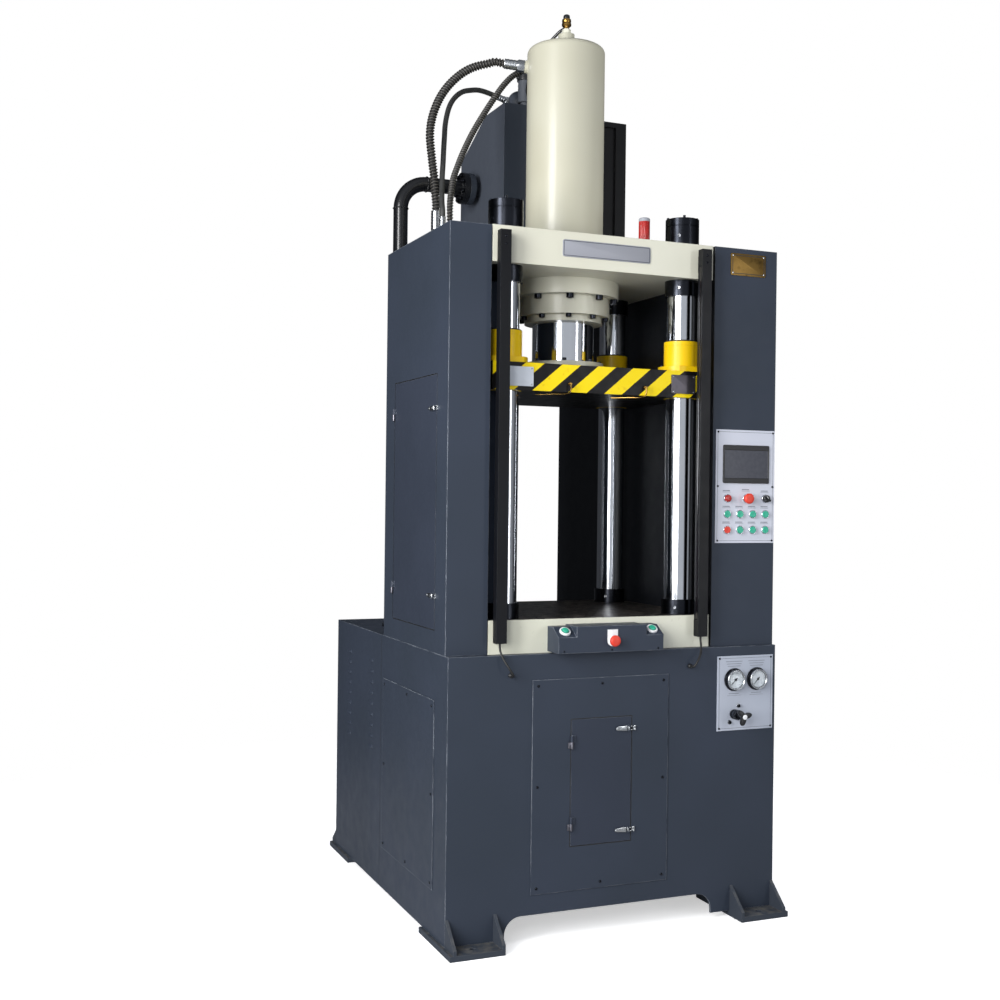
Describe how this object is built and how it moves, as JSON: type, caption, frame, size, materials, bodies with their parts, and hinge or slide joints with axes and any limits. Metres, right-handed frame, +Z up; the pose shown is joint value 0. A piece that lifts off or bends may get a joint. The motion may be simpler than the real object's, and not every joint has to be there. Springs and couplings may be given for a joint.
{
  "type": "hydraulic press",
  "caption": "Upright four-column hydraulic press: welded base, guided slide under a top cylinder, side cabinets, two-hand control box and rear oil tank.",
  "frame": {"origin": "on the floor, under the middle of the machine's bounding box", "axes": "+Z up, along the ram; +Y from the operator's side to the back; +X to the operator's right"},
  "size_m": [1.37, 1.568, 3.479],
  "materials": {
    "slate_paint": "satin",
    "cream_paint": "gloss",
    "chrome": "polished",
    "black_oxide": "satin",
    "black_paint": "satin",
    "yellow_paint": "satin",
    "silver_panel": "satin",
    "steel": "brushed",
    "brass": "satin",
    "screen": "gloss",
    "red_plastic": "gloss",
    "green_plastic": "gloss",
    "black_plastic": "matte",
    "hose_rubber": "matte"
  },
  "bodies": {
    "frame": {"base_frame": "slate_paint", "feet": "slate_paint", "front_cover": "slate_paint", "side_cover": "slate_paint", "fasteners": "black_oxide", "door_hardware": "steel", "bed": "cream_paint", "columns": "chrome", "column_nuts": "black_oxide", "crown": "cream_paint", "cylinder_barrel": "cream_paint", "mounting_flange": "cream_paint", "gland_housing": "cream_paint", "left_cabinet": "slate_paint", "right_cabinet": "slate_paint", "operator_panel": "silver_panel", "touch_screen": "screen", "signal_lamps": "red_plastic", "gauge_panel": "silver_panel", "gauge_cases": "black_paint", "nameplates": "brass", "two_hand_box": "slate_paint", "curtain_posts": "black_paint", "pressure_hose": "hose_rubber", "return_hose": "hose_rubber", "fill_hose": "hose_rubber", "curtain_cable_left": "hose_rubber", "curtain_cable_right": "hose_rubber", "hose_fittings": "steel", "oil_tank": "slate_paint", "breather": "steel", "riser_pipe": "black_paint", "hydraulic_unit": "slate_paint"},
    "slide": {"slide": "black_paint", "ram": "chrome", "ram_flange": "cream_paint", "guide_sleeves": "yellow_paint", "slide_fittings": "steel"},
    "front_door": {"front_door": "slate_paint"},
    "front_latch_upper": {"front_latch_upper": "steel"},
    "front_latch_lower": {"front_latch_lower": "steel"},
    "left_door": {"left_door": "slate_paint"},
    "left_latch_upper": {"left_latch_upper": "steel"},
    "left_latch_lower": {"left_latch_lower": "steel"},
    "panel_estop": {"panel_estop": "red_plastic"},
    "mode_selector": {"mode_selector": "black_plastic"},
    "pump_start_button": {"pump_start_button": "green_plastic"},
    "slide_down_button": {"slide_down_button": "green_plastic"},
    "slide_up_button": {"slide_up_button": "green_plastic"},
    "auto_start_button": {"auto_start_button": "green_plastic"},
    "pump_stop_button": {"pump_stop_button": "red_plastic"},
    "inch_down_button": {"inch_down_button": "green_plastic"},
    "inch_up_button": {"inch_up_button": "green_plastic"},
    "reset_button": {"reset_button": "green_plastic"},
    "palm_button_left": {"palm_button_left": "green_plastic"},
    "palm_button_right": {"palm_button_right": "green_plastic"},
    "two_hand_estop": {"two_hand_estop": "red_plastic"},
    "throttle_handle": {"throttle_handle": "black_plastic"},
    "needle_left": {"needle_left": "black_plastic"},
    "needle_right": {"needle_right": "black_plastic"}
  },
  "joints": [
    {"name": "slide_travel", "type": "slide", "parent": "frame", "child": "slide", "axis": [0, 0, 1], "range_m": [-0.5, 0.06]},
    {"name": "front_door_hinge", "type": "hinge", "parent": "frame", "child": "front_door", "pos_m": [-0.197, -0.6966, 0.5565], "axis": [0, 0, -1], "range_deg": [0, 110]},
    {"name": "left_door_hinge", "type": "hinge", "parent": "frame", "child": "left_door", "pos_m": [-0.6786, -0.063, 1.5625], "axis": [0, 0, -1], "range_deg": [0, 110]},
    {"name": "front_latch_upper_pivot", "type": "hinge", "parent": "front_door", "child": "front_latch_upper", "pos_m": [0.034, -0.697, 0.742], "axis": [0, 0, 1], "range_deg": [0, 120]},
    {"name": "front_latch_lower_pivot", "type": "hinge", "parent": "front_door", "child": "front_latch_lower", "pos_m": [0.034, -0.697, 0.371], "axis": [0, 0, 1], "range_deg": [0, 120]},
    {"name": "left_latch_upper_pivot", "type": "hinge", "parent": "left_door", "child": "left_latch_upper", "pos_m": [-0.679, -0.53, 1.898], "axis": [0, 0, 1], "range_deg": [0, 120]},
    {"name": "left_latch_lower_pivot", "type": "hinge", "parent": "left_door", "child": "left_latch_lower", "pos_m": [-0.679, -0.53, 1.227], "axis": [0, 0, 1], "range_deg": [0, 120]},
    {"name": "pump_start_press", "type": "slide", "parent": "frame", "child": "pump_start_button", "axis": [0, 1, 0], "range_m": [0, 0.003], "stiffness_N_per_m": 400},
    {"name": "slide_down_press", "type": "slide", "parent": "frame", "child": "slide_down_button", "axis": [0, 1, 0], "range_m": [0, 0.003], "stiffness_N_per_m": 400},
    {"name": "slide_up_press", "type": "slide", "parent": "frame", "child": "slide_up_button", "axis": [0, 1, 0], "range_m": [0, 0.003], "stiffness_N_per_m": 400},
    {"name": "auto_start_press", "type": "slide", "parent": "frame", "child": "auto_start_button", "axis": [0, 1, 0], "range_m": [0, 0.003], "stiffness_N_per_m": 400},
    {"name": "pump_stop_press", "type": "slide", "parent": "frame", "child": "pump_stop_button", "axis": [0, 1, 0], "range_m": [0, 0.003], "stiffness_N_per_m": 400},
    {"name": "inch_down_press", "type": "slide", "parent": "frame", "child": "inch_down_button", "axis": [0, 1, 0], "range_m": [0, 0.003], "stiffness_N_per_m": 400},
    {"name": "inch_up_press", "type": "slide", "parent": "frame", "child": "inch_up_button", "axis": [0, 1, 0], "range_m": [0, 0.003], "stiffness_N_per_m": 400},
    {"name": "reset_press", "type": "slide", "parent": "frame", "child": "reset_button", "axis": [0, 1, 0], "range_m": [0, 0.003], "stiffness_N_per_m": 400},
    {"name": "panel_estop_press", "type": "slide", "parent": "frame", "child": "panel_estop", "axis": [0, 1, 0], "range_m": [0, 0.005], "stiffness_N_per_m": 1500},
    {"name": "two_hand_estop_press", "type": "slide", "parent": "frame", "child": "two_hand_estop", "axis": [0, 1, 0], "range_m": [0, 0.005], "stiffness_N_per_m": 1500},
    {"name": "palm_left_press", "type": "slide", "parent": "frame", "child": "palm_button_left", "axis": [0, 0.5511, -0.8345], "range_m": [0, 0.002], "stiffness_N_per_m": 500},
    {"name": "palm_right_press", "type": "slide", "parent": "frame", "child": "palm_button_right", "axis": [0, 0.5511, -0.8345], "range_m": [0, 0.002], "stiffness_N_per_m": 500},
    {"name": "mode_turn", "type": "hinge", "parent": "frame", "child": "mode_selector", "pos_m": [0.629, -0.671, 1.588], "axis": [0, 1, 0], "range_deg": [-45, 45]},
    {"name": "throttle_turn", "type": "hinge", "parent": "frame", "child": "throttle_handle", "pos_m": [0.487, -0.728, 0.768], "axis": [0, 1, 0], "range_deg": [-180, 180]},
    {"name": "needle_left_turn", "type": "hinge", "parent": "frame", "child": "needle_left", "pos_m": [0.487, -0.702, 0.899], "axis": [0, 1, 0], "range_deg": [0, 270], "stiffness_Nm_per_rad": 0.0002},
    {"name": "needle_right_turn", "type": "hinge", "parent": "frame", "child": "needle_right", "pos_m": [0.587, -0.702, 0.899], "axis": [0, 1, 0], "range_deg": [0, 270], "stiffness_Nm_per_rad": 0.0002}
  ]
}
